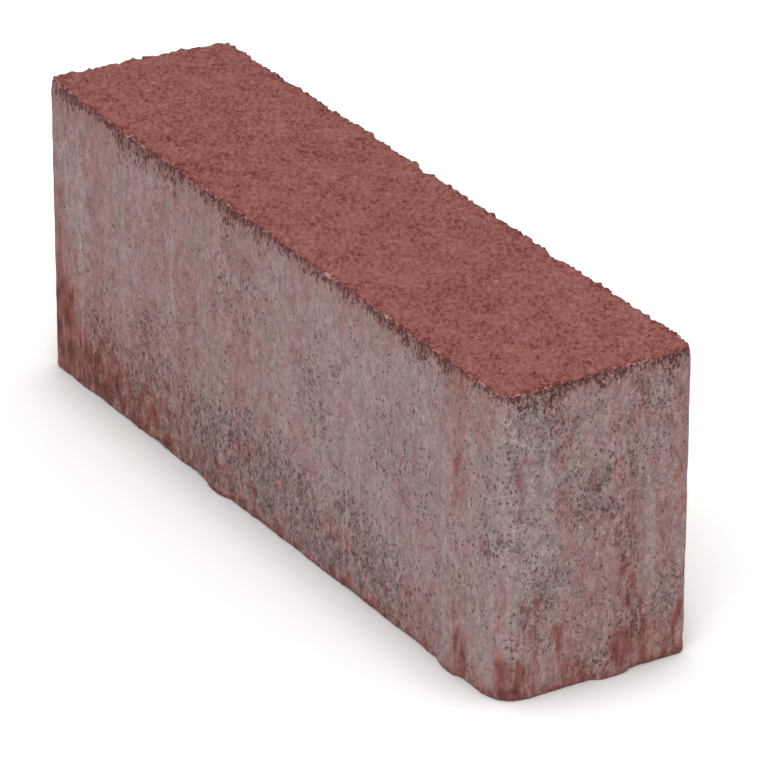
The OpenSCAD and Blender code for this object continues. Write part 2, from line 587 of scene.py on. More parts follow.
@dataclass(frozen=True)
class Relief:
    """Shape of the brick's surface over the plain block, in millimetres.

    Attributes:
        nibs: The spacer nibs.
        flakes: The larger chips.
        sway: Height of the slow waves of the sides.
        draw_mark: Height of the upright marks that the mould draws.
        grain: Height of the grain of the sides.
        top_grain: Height of the sandy grain of the top.
        top_swell: Height of the slow waves of the top.
        top_tilt: Lift of the front left top corner, and fall of the back left one.
        pit_depth: Depth of the pits of the sides and the top.
        bed_rise: Mean rise of the uneven bed over the plane that it stands on.
        arris_radius: Mean rounding of the top and bed arrises.
        ragged: Depth of the small breaks of the top arris.
        bed_ragged: Depth of the small breaks of the bed arris.
        ragged_reach: How far from an arris these breaks reach.
        bead: Height of the single grains that stand out of the arrises.
        bead_reach: How far from an arris the grains reach.
        chafe: Depth of the small breaks of the upright edges.
        burr: Height of the crumbly rim that the press leaves round the top.
        burr_width: Width of that rim.
        crumb_depth: Depth of the open grain in the crumbly band under the top arris.
        crumble: Roughness of the broken faces of the chips.
    """

    nibs: tuple[Nib, ...]
    flakes: tuple[Flake, ...]
    sway: float = 0.11
    draw_mark: float = 0.06
    grain: float = 0.05
    top_grain: float = 0.13
    top_swell: float = 0.16
    top_tilt: float = 0.6
    pit_depth: float = 0.3
    bed_rise: float = 0.12
    arris_radius: float = 0.55
    ragged: float = 0.45
    bed_ragged: float = 0.32
    ragged_reach: float = 2.2
    bead: float = 0.6
    bead_reach: float = 1.3
    chafe: float = 0.18
    burr: float = 0.4
    burr_width: float = 2.2
    crumb_depth: float = 0.4
    crumble: float = 0.35

    def sideways(self, skin: Skin, crumbs: Array) -> Array:
        """How far each vertex's rim point moves out of its side face.

        Args:
            skin: The skin.
            crumbs: Mask of the crumbly bands.

        Returns:
            Nibs + slow waves + upright marks + grain - open grain of the crumbly bands -
            breaks of the upright edges.
        """
        drawn = skin.drawn(0.05)
        wander = 0.5 * ripple(skin.rim, (5.0, 5.0, 9.0), 401)
        push = sum(nib.height(skin, wander) for nib in self.nibs)
        push += self.sway * rough(skin.rim, 38.0, 2, 402)
        push += self.draw_mark * (rough(drawn, 5.5, 3, 403) + 0.6 * ripple(drawn, 1.7, 404))
        push += self.grain * rough(skin.rim, 2.2, 2, 405)
        pits = pocks(skin.rim, 3.4, (0.5, 1.3), 406)
        push -= self.pit_depth * smooth(1.5 * pits)
        open_grain = 0.4 + 0.6 * rough(skin.rim, 1.9, 2, 407)
        push -= self.crumb_depth * smooth(1.6 * crumbs - 0.5) * open_grain
        bend = 2.0 * np.abs(skin.out[:, 0] * skin.out[:, 1])
        chafed = np.clip(0.2 + rough(skin.rim, 3.2, 2, 408), 0.0, 1.0)
        return push - self.chafe * bend * chafed

    def upwards(self, skin: Skin) -> Array:
        """Height of the top's surface over the plain block at each vertex's place.

        Args:
            skin: The skin.

        Returns:
            Sandy grain + slow waves + tilt of the left end - pits.
        """
        level = skin.plan
        sand = self.top_grain * (0.8 * rough(level, 2.6, 3, 411) + 0.7 * ripple(level, 1.3, 412))
        swell = self.top_swell * rough(level, 30.0, 2, 413)
        pits = self.pit_depth * smooth(1.4 * pocks(level, 3.0, (0.5, 1.2), 414))
        leftness = np.clip(0.5 - level[:, 0] / skin.block.length, 0.0, 1.0) ** 3
        tilt = self.top_tilt * leftness * -2.0 * level[:, 1] / skin.block.width
        return sand + swell - pits + tilt

    def rounding(self, away: Array, on_side: Array, radius: Array) -> tuple[Array, Array]:
        """Bends the surface next to an arris onto a quarter circle.

        The quarter turn is shared out evenly over the two radii of surface next to the arris.

        Args:
            away: Distance along the surface from the arris.
            on_side: True for a vertex of the side face.
            radius: Radius of the rounding at each vertex.

        Returns:
            How far each vertex moves outwards, and how far away from the flat face.
        """
        near = away < radius
        share = np.clip(away / radius, 0.0, 1.0)
        turn = math.pi / 4 * np.where(on_side, 1.0 + share, 1.0 - share)
        out = radius * (np.sin(turn) - 1.0) + np.where(on_side, 0.0, away)
        up = radius * (np.cos(turn) - 1.0) + np.where(on_side, away, 0.0)
        return np.where(near, out, 0.0), np.where(near, up, 0.0)

    def arrises(self, skin: Skin) -> tuple[Array, Array]:
        """Rounds and breaks the top and bed arrises.

        Each arris has its rounding, and along the slant between its two faces a saw of small
        breaks and single grains that stand out.

        Args:
            skin: The skin.

        Returns:
            How far each vertex moves outwards, and how far up.
        """
        line = skin.drawn()
        saw = 0.4 * ripple(line, 4.2, 431) + 0.5 * rough(line, 1.8, 2, 432)
        bed_saw = 0.7 * ripple(line, 6.5, 433) + 0.45 * rough(line, 2.0, 2, 434)
        radius = self.arris_radius * (1.0 + 0.5 * ripple(line, 7.0, 435))
        beads = self.bead * np.sqrt(pocks(skin.places, 1.7, (0.6, 1.05), 438))
        out, up = np.zeros(len(radius)), np.zeros(len(radius))
        for away, teeth, beading, sign in (
            (skin.from_top_arris(), self.ragged * (saw - 0.25), 1.0, 1.0),
            (skin.from_bed_arris(), self.bed_ragged * (bed_saw - 0.25), 0.4, -1.0),
        ):
            turn_out, turn_up = self.rounding(away, skin.part == Part.SIDE, radius)
            notch = teeth * smooth(1.0 - away / self.ragged_reach)
            notch += beading * beads * smooth(1.4 - away / self.bead_reach)
            out += turn_out + notch / math.sqrt(2.0)
            up += sign * (turn_up + notch / math.sqrt(2.0))
        return out, up

    def crumbly_rim(self, skin: Skin) -> Array:
        """Height of the crumbly rim round the top: a noise along the arris times a hump across
        the rim.

        Args:
            skin: The skin.

        Returns:
            The height at each vertex, in millimetres.
        """
        noise = np.clip(rough(skin.drawn(), 3.0, 3, 436) + 0.25, 0.0, 1.0)
        hump = smooth(skin.inset / 0.5) * smooth((self.burr_width - skin.inset) / 1.7)
        on_top = (skin.part == Part.TOP) | (skin.drop < 1e-6)
        return self.burr * noise * hump * on_top

    def shape(self, skin: Skin, crumbs: Array) -> tuple[Array, Array]:
        """Moves the skin from the plain block to the brick's own surface.

        Args:
            skin: The skin.
            crumbs: Mask of the crumbly bands.

        Returns:
            The new vertices, and a mask of the freshly broken places.
        """
        out, up = self.arrises(skin)
        out += self.sideways(skin, crumbs) * smooth(1.0 - skin.inset / 4.0)
        up += self.upwards(skin) * smooth(1.0 - skin.drop / 3.0) + self.crumbly_rim(skin)
        uneven = self.bed_rise * (1.0 + rough(skin.plan, 6.0, 3, 421))
        up += uneven * smooth(1.0 - skin.lift / 2.0)
        places = skin.places + skin.out * out[:, None]
        places[:, 2] += up

        crumble = self.crumble * rough(skin.rim + skin.places, 2.4, 2, 437)
        broken = np.zeros(len(places))
        for flake in self.flakes:
            step = flake.bite(places, crumble)
            places -= step[:, None] * np.asarray(flake.outward)
            broken = np.maximum(broken, smooth(step / 0.3))
        places[:, 2] = np.maximum(places[:, 2], 0.0)
        return places, broken


# ------------------------------------------------------------------------------- the weathering


@dataclass(frozen=True)
class Mark:
    """A place on the sides that differs from the rest: a red-brown stain, a pale line, a field
    of thick paste, a worn patch or a stretch of crumbly arris.

    Attributes:
        place: Distance round the brick to its middle.
        half_width: Half of its width.
        foot: Height of its lower end.
        head: Height of its upper end.
        strength: How strong it is.
    """

    place: float
    half_width: float
    foot: float
    head: float
    strength: float

    def mask(self, skin: Skin, wander: Array | float) -> Array:
        """Strength of the mark at each vertex.

        An eased band across times an eased band up and down.

        Args:
            skin: The skin.
            wander: Sideways wander of its edges at each vertex.

        Returns:
            Numbers from 0 to the mark's strength.
        """
        z = skin.lift + 1.5 * wander
        across = np.abs(skin.round_to(self.place) + wander) / self.half_width
        soft = 2.0 + 0.25 * (self.head - self.foot)
        upright = smooth((z - self.foot) / soft + 0.5) * smooth((self.head - z) / soft + 0.5)
        return self.strength * smooth(1.5 - 1.1 * across) * upright


def marks(start: float, *rows: tuple[float, ...]) -> tuple[Mark, ...]:
    """Marks from rows of place after a start, half width, foot, head and strength."""
    return tuple(Mark(start + place, *sizes) for place, *sizes in rows)


@dataclass(frozen=True)
class Weathering:
    """Masks of the brick's colours and wear.

    Attributes:
        stains: Red-brown stains, where the facing colour has run down the mould.
        pale_lines: Upright lines of bare pale paste.
        grey_fields: Wide fields where the paste film is thick and grey.
        coarse_patches: Patches where the paste is worn off the aggregate.
        crumb_fields: Stretches of the top arris with a deeper crumbly band.
        crumb_band: Least depth of the crumbly band.
        crumb_tongue: Depth of its tongues away from the crumb fields.
        crumb_deeper: Further depth of its tongues on a crumb field of strength 1.
        foot_rust: Strength of the ragged red-brown edge on the bed arris.
        streak_rust: Strength of the broad streaks.
        foot_haze: Strength of the haze's dense foot.
        foot_haze_reach: Height of that foot.
        low_haze: Strength of the haze that rises from the bed.
        low_haze_reach: Mean height of that haze.
        high_haze: Strength of the haze that hangs from the top arris.
        high_haze_reach: Mean depth of that haze.
        film: Mean strength of the paste film.
        veil: Strength of the cloudy wear.
        end_veil: Strength of the further wear of the ends.
        whole_place: Distance round the brick to the middle of the stretch with the least wear.
        foot_band: Strength of the greyer, darker band above the bed, where more bare aggregate and
            voids show.
        foot_band_reach: Height of that band.
        foot_band_place: Distance round the brick to its middle.
    """

    stains: tuple[Mark, ...]
    pale_lines: tuple[Mark, ...]
    grey_fields: tuple[Mark, ...]
    coarse_patches: tuple[Mark, ...]
    crumb_fields: tuple[Mark, ...]
    crumb_band: float = 0.9
    crumb_tongue: float = 0.5
    crumb_deeper: float = 1.8
    foot_rust: float = 0.85
    streak_rust: float = 0.34
    foot_haze: float = 0.45
    foot_haze_reach: float = 16.0
    low_haze: float = 0.7
    low_haze_reach: float = 56.0
    high_haze: float = 0.38
    high_haze_reach: float = 14.0
    film: float = 0.45
    veil: float = 0.4
    end_veil: float = 0.32
    whole_place: float = 25.0
    foot_band: float = 0.8
    foot_band_reach: float = 37.0
    foot_band_place: float = 90.0

    def wander(self, skin: Skin) -> Array:
        """Sideways wander of the edges of marks, in millimetres."""
        broad = ripple(skin.rim, (4.5, 4.5, 11.0), 501)
        return 1.6 * broad + 0.8 * ripple(skin.rim, (1.6, 1.6, 4.0), 502)

    def crumbs(self, skin: Skin) -> Array:
        """Mask of the crumbly band along the top arris: 1 at the arris and falling evenly.

        Down the side the fall takes three times the band's depth, so the finish finds the
        band's lower edge at 2 / 3, and on the top it takes 1.1 times the depth. The depth is
        the band's least depth plus tongues, which are longer on the crumb fields.

        Args:
            skin: The skin.

        Returns:
            Numbers from 0 to 1.
        """
        line = skin.drawn()
        tongues = np.clip(0.4 + ripple(line, 7.0, 511) + 0.6 * ripple(line, 2.6, 512), 0.0, 2.0)
        deeper = sum(crumb.mask(skin, 0.0) for crumb in self.crumb_fields)
        depth = self.crumb_band + (self.crumb_tongue + self.crumb_deeper * deeper) * tongues
        fall = skin.drop / (3.0 * depth) + skin.inset / (1.1 * depth)
        return np.clip(1.0 - fall, 0.0, 1.0) * (skin.part != Part.BED)

    def rust(self, skin: Skin) -> Array:
        """Mask of the red-brown colour on the sides.

        The largest of the stains, a dense ragged edge on the bed arris and weak broad streaks,
        and over them a haze that rises from the bed and one that hangs from the top arris. The
        lower haze is densest at the front left corner.

        Args:
            skin: The skin.

        Returns:
            Numbers from 0 to 1.
        """
        wander = self.wander(skin)
        line = skin.drawn()
        foot = 1.9 + 1.8 * rough(line, 7.0, 2, 521) + 0.8 * ripple(line, 1.6, 522)
        at_foot = self.foot_rust * smooth((foot - skin.lift) / 4.0 + 0.5)
        streaks = self.streak_rust * smooth(1.3 * rough(skin.drawn(0.12), 7.0, 3, 523))
        spots = np.maximum.reduce([stain.mask(skin, 0.6 * wander) for stain in self.stains])
        share = 1.0 - 0.75 * smooth(np.abs(skin.round_to(0.0)) / 120.0)
        reach = self.low_haze_reach + 16.0 * rough(line, 9.0, 3, 524)
        low = self.foot_haze * smooth(1.0 - skin.lift / self.foot_haze_reach)
        low += self.low_haze * smooth(1.0 - skin.lift / reach)
        reach = self.high_haze_reach + 6.0 * rough(line, 6.0, 2, 525)
        high = self.high_haze * smooth(1.0 - skin.drop / reach)
        mask = np.maximum(np.maximum(spots, at_foot), streaks)
        haze = np.maximum(share * low, high)
        return np.clip(mask + haze * (1.0 - mask), 0.0, 1.0)

    def paste(self, skin: Skin) -> Array:
        """Mask of the pale grey paste film: wide fields, upright streaks and pale lines.

        Args:
            skin: The skin.

        Returns:
            Numbers from 0 to 1.
        """
        wander = self.wander(skin)
        fields = sum(grey.mask(skin, wander) for grey in self.grey_fields)
        lines = sum(line.mask(skin, 0.25 * wander) for line in self.pale_lines)
        streaks = rough(skin.drawn(0.1), 9.0, 3, 531)
        return np.clip(self.film + 0.27 * streaks + 0.4 * fields + 0.6 * lines, 0.0, 1.0)

    def coarse(self, skin: Skin) -> Array:
        """Mask of the worn places and of a greyer, darker band above the bed, where grey aggregate
        and open holes show.

        Patches, a cloudy veil that is thicker on the ends and thin where the film is whole,
        and a band above the bed.

        Args:
            skin: The skin.

        Returns:
            Numbers from 0 to 1.
        """
        wander = self.wander(skin)
        spots = sum(patch.mask(skin, 1.5 * wander) for patch in self.coarse_patches)
        veil = self.veil * smooth(0.5 + 0.9 * rough(skin.rim, 13.0, 3, 541))
        veil += self.end_veil * smooth(3.0 * np.abs(skin.out[:, 0]) - 2.0)
        whole = smooth(1.4 - np.abs(skin.round_to(self.whole_place)) / 50.0)
        veil *= 1.0 - 0.8 * whole * smooth(skin.lift / 25.0 - 0.8)
        # A greyer, darker band above the bed, with more bare aggregate and voids
        low = smooth((92.0 - np.abs(skin.round_to(self.foot_band_place))) / 40.0)
        low *= self.foot_band * smooth(1.0 - skin.lift / self.foot_band_reach)
        return np.clip(0.7 * spots + veil + low, 0.0, 1.0)

    def fins(self, skin: Skin) -> Array:
        """Mask of the thin pale fins of paste on the top arris, which the finishes colour as pale
        paste with a painted glint.

        Args:
            skin: The skin.

        Returns:
            Numbers from 0 to 1.
        """
        where = smooth(2.4 * rough(skin.drawn(), 5.0, 3, 551) + 0.1)
        return where * smooth(1.2 - skin.from_top_arris() / 0.5)


# ------------------------------------------------------------------------------- node building


def tone(red: int, green: int, blue: int) -> tuple[float, float, float, float]:
    """Colour for a shader socket from red, green and blue as a screen shows them.

    Each share c of 255 becomes ((c + 0.055) / 1.055) ** 2.4, or c / 12.92 where it is small.

    Args:
        red: Red, from 0 to 255.
        green: Green, from 0 to 255.
        blue: Blue, from 0 to 255.

    Returns:
        The linear red, green and blue, and an alpha of 1.
    """
    shares = (channel / 255.0 for channel in (red, green, blue))
    linear = (c / 12.92 if c < 0.04045 else ((c + 0.055) / 1.055) ** 2.4 for c in shares)
    return (*linear, 1.0)


class Board:
    """A node tree, with short ways to add nodes to it."""

    def __init__(self, tree: bpy.types.NodeTree) -> None:
        """Starts on an empty tree."""
        self.tree = tree
        tree.nodes.clear()

    def feed(self, socket: bpy.types.NodeSocket, value: Feed) -> None:
        """Links a socket to another, or sets its value.

        Args:
            socket: The input socket.
            value: What it is fed with.
        """
        if isinstance(value, bpy.types.NodeSocket):
            self.tree.links.new(value, socket)
        elif isinstance(value, tuple):
            socket.default_value = value[: len(socket.default_value)]
        else:
            socket.default_value = value

    def add(
        self, kind: str, feeds: dict[int | str, Feed] | None = None, **settings: object
    ) -> bpy.types.Node:
        """Adds a node.

        Args:
            kind: Blender's name of the node type.
            feeds: What each input is linked to or set to.
            **settings: Properties of the node.

        Returns:
            The node.
        """
        node = self.tree.nodes.new(kind)
        for name, value in settings.items():
            setattr(node, name, value)
        for key, value in (feeds or {}).items():
            self.feed(node.inputs[key], value)
        return node

    def effect(self, group: bpy.types.NodeTree, **feeds: Feed) -> bpy.types.Node:
        """Places a node group, with its inputs fed by name."""
        return self.add("ShaderNodeGroup", feeds, node_tree=group)

    def math(self, operation: str, *values: Feed) -> bpy.types.NodeSocket:
        """Result of a Math node."""
        return self.add("ShaderNodeMath", dict(enumerate(values)), operation=operation).outputs[0]

    def vector(self, operation: str, *values: Feed) -> bpy.types.NodeSocket:
        """Result of a Vector Math node that puts out a vector."""
        feeds = dict(enumerate(values))
        return self.add("ShaderNodeVectorMath", feeds, operation=operation).outputs[0]

    def total(self, *terms: tuple[Feed, float], start: float = 0.0) -> bpy.types.NodeSocket:
        """Sum of a start and of sockets times a factor, as a chain of multiply-add nodes.

        Args:
            *terms: A socket and its factor, for each term.
            start: What the sum starts from.

        Returns:
            The sum.
        """
        value: Feed = start
        for socket, factor in terms:
            value = self.math("MULTIPLY_ADD", socket, factor, value)
        return value

    def blend(self, share: Feed, first: Feed, second: Feed) -> bpy.types.NodeSocket:
        """Colour mixed from the first to the second by a share."""
        feeds = {0: share, 6: first, 7: second}
        return self.add("ShaderNodeMix", feeds, data_type="RGBA").outputs[2]

    def cover(self, colour: Feed, over: Feed, mask: Feed, most: float) -> bpy.types.NodeSocket:
        """Colour covered by another where a mask is, by the given share at most."""
        return self.blend(self.math("MULTIPLY", mask, most), colour, over)

    def shade(self, colour: Feed, factor: Feed) -> bpy.types.NodeSocket:
        """Colour or vector times a factor."""
        feeds = {0: colour, "Scale": factor}
        return self.add("ShaderNodeVectorMath", feeds, operation="SCALE").outputs[0]

    def ease(
        self, value: Feed, low: float, high: float, start: Feed = 0.0, end: Feed = 1.0
    ) -> bpy.types.NodeSocket:
        """Value eased from start at low to end at high."""
        feeds = {"Value": value, "From Min": low, "From Max": high, "To Min": start, "To Max": end}
        return self.add("ShaderNodeMapRange", feeds, interpolation_type="SMOOTHSTEP").outputs[0]

    def noise(
        self, vector: Feed, length: float, detail: float = 2.0, rough: float = 0.5
    ) -> bpy.types.NodeSocket:
        """Noise that is mostly from -1 to 1.

        Args:
            vector: Where on the brick, in millimetres.
            length: Length of its waves, in millimetres.
            detail: Number of finer waves on them.
            rough: Height of each finer wave as a share of the one before.

        Returns:
            The noise, stretched from the node's middle range of 0.375 to 0.625.
        """
        feeds = {"Vector": vector, "Scale": 1.0 / length, "Detail": detail, "Roughness": rough}
        level = self.add("ShaderNodeTexNoise", feeds).outputs["Fac"]
        return self.math("MULTIPLY_ADD", level, 8.0, -4.0)

    def bent(self, vector: Feed, scale: float, reach: float = 0.9) -> bpy.types.NodeSocket:
        """Vector pushed about by a noise of the given scale, by up to the reach."""
        bend = self.add("ShaderNodeTexNoise", {"Vector": vector, "Scale": scale, "Detail": 2.0})
        return self.vector("MULTIPLY_ADD", bend.outputs["Color"], (reach,) * 3, vector)

    def attribute(self, name: str) -> bpy.types.NodeSocket:
        """A mask stored on the vertices."""
        return self.add("ShaderNodeAttribute", attribute_name=name).outputs["Fac"]

    def millimetres(self) -> bpy.types.NodeSocket:
        """Object coordinates in millimetres."""
        place = self.add("ShaderNodeTexCoord").outputs["Object"]
        return self.vector("MULTIPLY", place, (1.0 / MM,) * 3)


class EffectGroup(Board):
    """Board of a shader node group. Its input Place is a vector, and its other inputs and its
    outputs are plain numbers.

    Attributes:
        given: The group's inputs.
        result: The node that takes its outputs.
    """

    def __init__(self, name: str, inputs: tuple[str, ...], outputs: tuple[str, ...]) -> None:
        """Makes the group with its sockets.

        Args:
            name: The group's name.
            inputs: Names of the inputs.
            outputs: Names of the outputs.
        """
        super().__init__(bpy.data.node_groups.new(name, "ShaderNodeTree"))
        for socket in inputs:
            kind = "NodeSocketVector" if socket == "Place" else "NodeSocketFloat"
            self.tree.interface.new_socket(socket, in_out="INPUT", socket_type=kind)
        for socket in outputs:
            kind = "NodeSocketFloat"
            self.tree.interface.new_socket(socket, in_out="OUTPUT", socket_type=kind)
        self.given = self.add("NodeGroupInput").outputs
        self.result = self.add("NodeGroupOutput")

    def scaled_place(self) -> bpy.types.NodeSocket:
        """The input Place divided by the input Size."""
        return self.shade(self.given["Place"], self.math("DIVIDE", 1.0, self.given["Size"]))

    def give(self, **results: Feed) -> bpy.types.NodeTree:
        """Feeds the outputs.

        Args:
            **results: What each output is fed with, by name.

        Returns:
            The finished group.
        """
        for name, value in results.items():
            self.feed(self.result.inputs[name], value)
        return self.tree


def grain_group() -> bpy.types.NodeTree:
    """Group of the concrete's grain.

    Returns:
        The group. It gives fine and coarse sand, each mostly from -1 to 1, and the two as one
        height in millimetres.
    """
    group = EffectGroup("concrete_grain", ("Place", "Size"), ("Fine", "Coarse", "Height"))
    place = group.scaled_place()
    fine = group.noise(place, 0.5, 2.0, 0.6)
    coarse = group.noise(place, 1.4, 2.0, 0.6)
    height = group.total((fine, 0.06), (coarse, 0.08))
    return group.give(Fine=fine, Coarse=coarse, Height=height)


def void_group() -> bpy.types.NodeTree:
    """Group of small rounded voids, one to a cell of about 1 mm.

    Each has a radius of 0.6 * its own random number + 0.35 * Share - 0.45, a little more in
    loose swarms, so that a Share of 0 leaves few and small ones and one of 1 many.

    Returns:
        The group. It gives the mask of the voids.
    """
    group = EffectGroup("voids", ("Place", "Size", "Share"), ("Mask",))
    place = group.scaled_place()
    feeds = {"Vector": group.bent(place, 2.5), "Scale": 1.0}
    cells = group.add("ShaderNodeTexVoronoi", feeds).outputs
    chance = group.add("ShaderNodeSeparateColor", {0: cells["Color"]}).outputs[0]
    inside = group.total(
        (chance, 0.6),
        (group.noise(place, 6.0), 0.05),
        (group.given["Share"], 0.35),
        (cells["Distance"], -1.0),
        start=-0.45,
    )
    return group.give(Mask=group.ease(inside, 0.0, 0.14))


def packed_group() -> bpy.types.NodeTree:
    """Group of closely packed grains.

    Returns:
        The group. Its Gaps are 1 in the seams between the grains, which the sides darken as
        painted shade, and its Tone is each grain's own random number from -1 to 1.
    """
    group = EffectGroup("packed_grains", ("Place", "Size"), ("Gaps", "Tone"))
    feeds = {"Vector": group.bent(group.scaled_place(), 1.3), "Scale": 1.0}
    edges = group.add("ShaderNodeTexVoronoi", feeds, feature="DISTANCE_TO_EDGE").outputs
    cells = group.add("ShaderNodeTexVoronoi", feeds).outputs
    chance = group.add("ShaderNodeSeparateColor", {0: cells["Color"]}).outputs[0]
    return group.give(
        Gaps=group.ease(edges["Distance"], 0.0, 0.12, 1.0, 0.0),
        Tone=group.math("MULTIPLY_ADD", chance, 2.0, -1.0),
    )


def fin_and_glint_group() -> bpy.types.NodeTree:
    """Group of the pale fins of the top arris, whose colour is pale paste with a painted glint.

    Returns:
        The group. It gives how much of the fins shows, where the grain breaks up their mask.
    """
    group = EffectGroup("paste_fins_and_glint", ("Mask", "Fine", "Coarse"), ("Share",))
    given = group.given
    broken = group.total((given["Fine"], 0.5), (given["Coarse"], 0.9), start=0.3)
    share = group.math("MULTIPLY", given["Mask"], broken)
    return group.give(Share=group.ease(share, 0.25, 0.75, 0.0, 0.7))


def cleft_group() -> bpy.types.NodeTree:
    """Group of the clefts of the crumbly band, which the finishes darken as painted shade.

    Comb, a noise with the shape of the clefts, is cut off lower where the band, Crumbs, is
    denser.

    Returns:
        The group. It gives the mask of the clefts, which is nothing outside the band.
    """
    group = EffectGroup("crumb_clefts", ("Crumbs", "Comb"), ("Mask",))
    comb, crumbs = group.given["Comb"], group.given["Crumbs"]
    clefts = group.ease(group.total((comb, 1.0), (crumbs, 1.3), start=-1.0), 0.0, 0.4)
    return group.give(Mask=group.math("MULTIPLY", clefts, group.ease(crumbs, 0.0, 0.2)))


@dataclass(frozen=True)
class Effects:
    """The node groups that the finishes are made with, each built once.

    Attributes:
        grain: Fine and coarse sand.
        voids: Small rounded voids.
        packed: Closely packed grains.
        fins: Pale fins of the top arris, coloured as pale paste with a painted glint.
        clefts: Clefts of the crumbly band, darkened as painted shade.
    """

    grain: bpy.types.NodeTree = field(default_factory=grain_group)
    voids: bpy.types.NodeTree = field(default_factory=void_group)
    packed: bpy.types.NodeTree = field(default_factory=packed_group)
    fins: bpy.types.NodeTree = field(default_factory=fin_and_glint_group)
    clefts: bpy.types.NodeTree = field(default_factory=cleft_group)


class Finish:
    """Base of the finishes: starts a material and closes it with a Principled shader.

    Attributes:
        name: The material's name.
        specular: Strength of its gloss.
    """

    name: str = "finish"
    specular: float = 0.25

    def start(self) -> tuple[bpy.types.Material, Board]:
        """Makes the material.

        Returns:
            The material and the board of its nodes.
        """
        material = bpy.data.materials.new(self.name)
        material.use_nodes = True
        return material, Board(material.node_tree)

    def close(self, board: Board, colour: Feed, roughness: Feed, height: Feed) -> None:
        """Ends a finish in a matt Principled shader.

        Args:
            board: The finish's nodes.
            colour: Its base colour.
            roughness: Its roughness.
            height: Its fine relief in millimetres.
        """
        bump = board.add("ShaderNodeBump", {"Height": height, "Strength": 1.0, "Distance": MM})
        shader = board.add(
            "ShaderNodeBsdfPrincipled",
            {
                "Base Color": colour,
                "Roughness": roughness,
                "Specular IOR Level": self.specular,
                "Normal": bump.outputs[0],
            },
        )
        board.add("ShaderNodeOutputMaterial", {"Surface": shader.outputs[0]})


@dataclass(frozen=True)
class RedTop(Finish):
    """The sandy red facing of the top.

    Attributes:
        name: The material's name.
        dark: Colour between the grains: partly the sand's own darker tone, partly painted shade.
        light: Colour of their tops: partly the sand's own lighter tone, partly painted light.
        pit_shade: Colour of the pits and clefts, painted shade in their hollows.
        speck: Colour of the pale specks.
        fin: Colour of the fins: pale paste with a painted glint.
        strike: Angle, clockwise from above, between the brick's length and the direction that
            the sand was struck off in.
        strike_stretch: Factor on the pattern's distances along that direction, below 1 so that
            its grains are longer that way.
        pit_shade_cover: Most that the painted shade of the pits covers.
        speck_cover: Most that a speck covers.
    """

    name: str = "red_top"
    dark: tuple[float, ...] = tone(108, 40, 33)
    light: tuple[float, ...] = tone(174, 113, 105)
    pit_shade: tuple[float, ...] = tone(92, 28, 22)
    speck: tuple[float, ...] = tone(192, 146, 136)
    fin: tuple[float, ...] = tone(206, 160, 150)
    strike: float = math.radians(32.0)
    strike_stretch: float = 0.58
    pit_shade_cover: float = 0.65
    speck_cover: float = 0.6

    def material(self, effects: Effects) -> bpy.types.Material:
        """Builds the material: sand from dark to light with painted shade and light, pits and
        clefts in painted shade, pale specks, and fins with a painted glint.

        Args:
            effects: The node groups.

        Returns:
            The material.
        """
        material, board = self.start()
        place = board.millimetres()
        turn = {"Vector": place, "Angle": self.strike}
        turned = board.add("ShaderNodeVectorRotate", turn, rotation_type="Z_AXIS").outputs[0]
        struck = board.vector("MULTIPLY", turned, (self.strike_stretch, 1.0, 1.0))
        grain = board.effect(effects.grain, Place=struck, Size=0.8).outputs
        fine, coarse = grain["Fine"], grain["Coarse"]
        mottle = board.noise(place, 4.5, 3.0, 0.6)
        clouds = board.noise(place, 16.0)
        level = board.total((fine, 0.1), (coarse, 0.17), (mottle, 0.07), (clouds, 0.03), start=0.5)
        # Partly painted light: the blend from dark to light stands partly for the shade and light
        # on the grains
        colour = board.blend(level, self.dark, self.light)

        share = board.total((mottle, -0.5), start=0.95)
        pits = board.effect(effects.voids, Place=struck, Size=0.75, Share=share).outputs[0]
        comb = board.noise(place, 0.9, 1.0)
        crumbs = board.attribute("crumbs")
        clefts = board.effect(effects.clefts, Crumbs=crumbs, Comb=comb).outputs[0]
        pits = board.math("MAXIMUM", pits, clefts)
        # Painted shade: the pits, and the clefts of the crumbly band, are darkened in the colour
        colour = board.cover(colour, self.pit_shade, pits, self.pit_shade_cover)
        specks = board.effect(effects.voids, Place=place, Size=3.2, Share=0.15).outputs[0]
        colour = board.cover(colour, self.speck, specks, self.speck_cover)
        fins = board.effect(effects.fins, Mask=board.attribute("fins"), Fine=fine, Coarse=coarse)
        # Partly painted highlight: the fins are pale paste with a painted glint along the arris
        colour = board.blend(fins.outputs[0], colour, self.fin)

        height = board.total((grain["Height"], 0.3), (pits, -0.06))
        self.close(board, colour, board.ease(fine, -1.0, 1.0, 0.95, 0.82), height)
        return material


@dataclass(frozen=True)
class SideGround:
    """Patterns and masks that several layers of the drawn sides are made from.

    Attributes:
        place: Object coordinates in millimetres.
        drawn: The same, lengthened upwards as the mould has drawn the paste.
        fine: Fine grain.
        coarse: Coarse grain.
        broad: Wide upright streaks.
        thin: Narrow upright streaks.
        patchy: Patches of a few millimetres.
        rust: Mask of the stains.
        worn: Mask of the worn places.
        crumbs: Mask of the crumbly band.
        mottled: How strongly patches show, which is more in the worn places.
    """

    place: Feed
    drawn: Feed
    fine: Feed
    coarse: Feed
    broad: Feed
    thin: Feed
    patchy: Feed
    rust: Feed
    worn: Feed
    crumbs: Feed
    mottled: Feed


